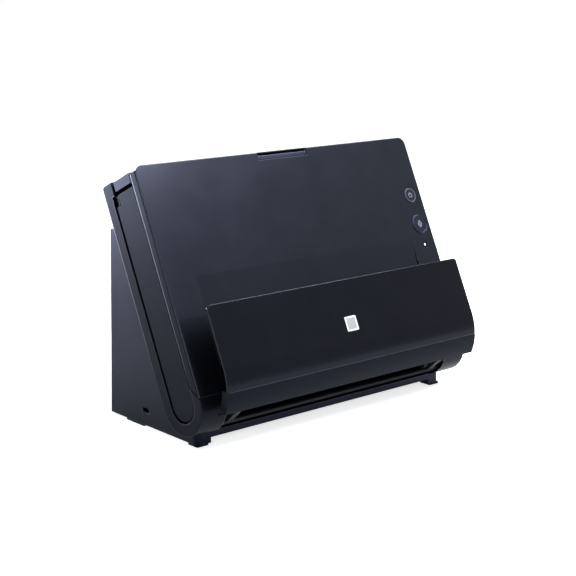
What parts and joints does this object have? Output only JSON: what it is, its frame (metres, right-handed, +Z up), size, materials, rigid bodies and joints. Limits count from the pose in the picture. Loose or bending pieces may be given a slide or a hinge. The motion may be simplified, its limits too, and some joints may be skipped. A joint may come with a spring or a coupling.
{
  "type": "document scanner",
  "caption": "Upright sheet-fed document scanner with a leaning paper slab, a front unit that tips open, a curved output tray and a pull-out document support.",
  "frame": {"origin": "middle of the footprint, on the surface that the scanner stands on", "axes": "+X to the right of someone facing the scanner's front, along its width, +Y to the rear, +Z up"},
  "size_m": [0.3, 0.1638, 0.2199],
  "materials": {
    "casing": "fine moulded grain, satin",
    "side_cover": "fine moulded grain, satin",
    "front_cover": "smooth, satin sheen",
    "tray_gloss": "polished",
    "tray_inner": "satin",
    "feed_cover": "fine moulded grain, satin",
    "support": "fine moulded grain",
    "underside": "plain moulding",
    "foot_rubber": "matt",
    "screw_steel": "zinc plated",
    "board": "lacquered circuit board",
    "socket": "satin",
    "paper_guide": "smooth, low friction",
    "guide_plastic": "smooth",
    "plate_steel": "black coated steel sheet",
    "shaft_steel": "ground",
    "bush": "natural acetal",
    "sensor": "satin",
    "scan_glass": "clear",
    "motor_can": "drawn steel can",
    "belt_rubber": "matt",
    "roller_rubber": "ground, matt",
    "latch_plastic": "smooth",
    "button_plastic": "smooth, satin sheen",
    "lamp": "clear lens in a dark ring"
  },
  "bodies": {
    "main_body": {"stand_shell": "casing", "stand_bottom_plate": "underside", "foot_pads": "foot_rubber", "body_screws": "screw_steel", "main_board": "board", "power_inlet": "socket", "data_port": "socket", "rear_housing": "casing", "left_side_cover": "side_cover", "right_side_cover": "side_cover", "rear_paper_guide": "paper_guide", "turn_guide": "paper_guide", "chin_cover": "underside", "hinge_brackets": "plate_steel", "hinge_pins": "shaft_steel", "rear_image_sensor": "sensor", "rear_scan_glass": "scan_glass", "roller_brackets": "plate_steel"},
    "rear_pinch": {"rear_pinch_roller": "roller_rubber"},
    "turn_pinch": {"turn_pinch_roller": "roller_rubber"},
    "retard": {"retard_roller": "roller_rubber"},
    "support": {"document_support": "support"},
    "extension": {"support_extension": "support"},
    "feed_lid": {"feed_cover": "feed_cover", "feed_cover_pins": "shaft_steel", "pinion_pin": "shaft_steel"},
    "left_guide": {"left_document_guide": "guide_plastic"},
    "right_guide": {"right_document_guide": "guide_plastic"},
    "pinion": {"guide_pinion": "guide_plastic"},
    "front_unit": {"front_frame": "casing", "front_cover": "front_cover", "left_side_plate": "plate_steel", "right_side_plate": "plate_steel", "shaft_bushes": "bush", "front_paper_guide": "paper_guide", "exit_guide": "paper_guide", "front_image_sensor": "sensor", "front_scan_glass": "scan_glass", "drive_motor": "motor_can", "drive_belt": "belt_rubber", "panel_board": "board", "status_lamp": "lamp", "latch_spring": "plate_steel", "tray_panel": "tray_gloss", "tray_inner_panel": "tray_inner", "tray_lower_cover": "casing", "tray_base": "tray_inner", "badge_plate": "tray_gloss"},
    "turn_roller": {"turn_shaft": "shaft_steel", "turn_tyres": "roller_rubber"},
    "drive_roller": {"drive_shaft": "shaft_steel", "drive_tyres": "roller_rubber"},
    "feed_roller": {"feed_shaft": "shaft_steel", "feed_tyres": "roller_rubber"},
    "motor_rotor": {"motor_shaft": "shaft_steel"},
    "exit_pinch": {"exit_pinch_roller": "roller_rubber"},
    "latch": {"latch_lever": "latch_plastic", "latch_shaft": "shaft_steel"},
    "power_key": {"power_button": "button_plastic"},
    "start_key": {"start_button": "button_plastic"}
  },
  "joints": [
    {"name": "rear_pinch_spin", "type": "hinge", "parent": "main_body", "child": "rear_pinch", "pos_m": [0, 0.00324, 0.08937], "axis": [1, 0, 0], "continuous": true},
    {"name": "turn_pinch_spin", "type": "hinge", "parent": "main_body", "child": "turn_pinch", "pos_m": [0, -0.04692, 0.03156], "axis": [1, 0, 0], "continuous": true},
    {"name": "retard_spin", "type": "hinge", "parent": "main_body", "child": "retard", "pos_m": [0, 0.01621, 0.10978], "axis": [1, 0, 0], "continuous": true},
    {"name": "support_slide", "type": "slide", "parent": "main_body", "child": "support", "axis": [0, 0.4274, 0.9041], "range_m": [0, 0.085]},
    {"name": "extension_slide", "type": "slide", "parent": "support", "child": "extension", "axis": [0, 0.4274, 0.9041], "range_m": [0, 0.08]},
    {"name": "feed_cover_hinge", "type": "hinge", "parent": "main_body", "child": "feed_lid", "pos_m": [0, 0.05165, 0.20242], "axis": [-1, 0, 0], "range_deg": [0, 90]},
    {"name": "left_guide_slide", "type": "slide", "parent": "feed_lid", "child": "left_guide", "axis": [1, 0, 0], "range_m": [0, 0.08]},
    {"name": "right_guide_slide", "type": "slide", "parent": "feed_lid", "child": "right_guide", "axis": [-1, 0, 0], "range_m": [0, 0.08]},
    {"name": "guide_pinion_turn", "type": "hinge", "parent": "feed_lid", "child": "pinion", "pos_m": [0, 0.0394, 0.206], "axis": [0, 0.4274, 0.9041], "range_deg": [0, 956]},
    {"name": "front_unit_hinge", "type": "hinge", "parent": "main_body", "child": "front_unit", "pos_m": [0, -0.05918, 0.03371], "axis": [1, 0, 0], "range_deg": [0, 35]},
    {"name": "turn_spin", "type": "hinge", "parent": "front_unit", "child": "turn_roller", "pos_m": [0, -0.03765, 0.05118], "axis": [1, 0, 0], "continuous": true},
    {"name": "drive_spin", "type": "hinge", "parent": "front_unit", "child": "drive_roller", "pos_m": [0, -0.00698, 0.0942], "axis": [1, 0, 0], "continuous": true},
    {"name": "feed_spin", "type": "hinge", "parent": "front_unit", "child": "feed_roller", "pos_m": [0, 0.00328, 0.1159], "axis": [1, 0, 0], "continuous": true},
    {"name": "motor_spin", "type": "hinge", "parent": "front_unit", "child": "motor_rotor", "pos_m": [0, 0.00378, 0.14], "axis": [1, 0, 0], "continuous": true},
    {"name": "exit_pinch_spin", "type": "hinge", "parent": "front_unit", "child": "exit_pinch", "pos_m": [0, -0.05727, 0.06046], "axis": [1, 0, 0], "continuous": true},
    {"name": "latch_turn", "type": "hinge", "parent": "front_unit", "child": "latch", "pos_m": [0, 0.02136, 0.20292], "axis": [1, 0, 0], "range_deg": [0, 8], "stiffness_Nm_per_rad": 0.12, "springref_deg": -5.73},
    {"name": "power_press", "type": "slide", "parent": "front_unit", "child": "power_key", "axis": [0, 0.9041, -0.4274], "range_m": [0, 0.0008], "stiffness_N_per_m": 1500, "springref_m": -0.0002},
    {"name": "start_press", "type": "slide", "parent": "front_unit", "child": "start_key", "axis": [0, 0.9041, -0.4274], "range_m": [0, 0.0008], "stiffness_N_per_m": 1500, "springref_m": -0.0002}
  ],
  "couplings": [
    {"joint": "right_guide_slide", "follows": "left_guide_slide", "ratio": 1},
    {"joint": "guide_pinion_turn", "follows": "left_guide_slide", "rad_per_m": 208.33},
    {"joint": "drive_spin", "follows": "turn_spin", "ratio": 2},
    {"joint": "feed_spin", "follows": "turn_spin", "ratio": 2},
    {"joint": "motor_spin", "follows": "turn_spin", "ratio": 2.4}
  ]
}
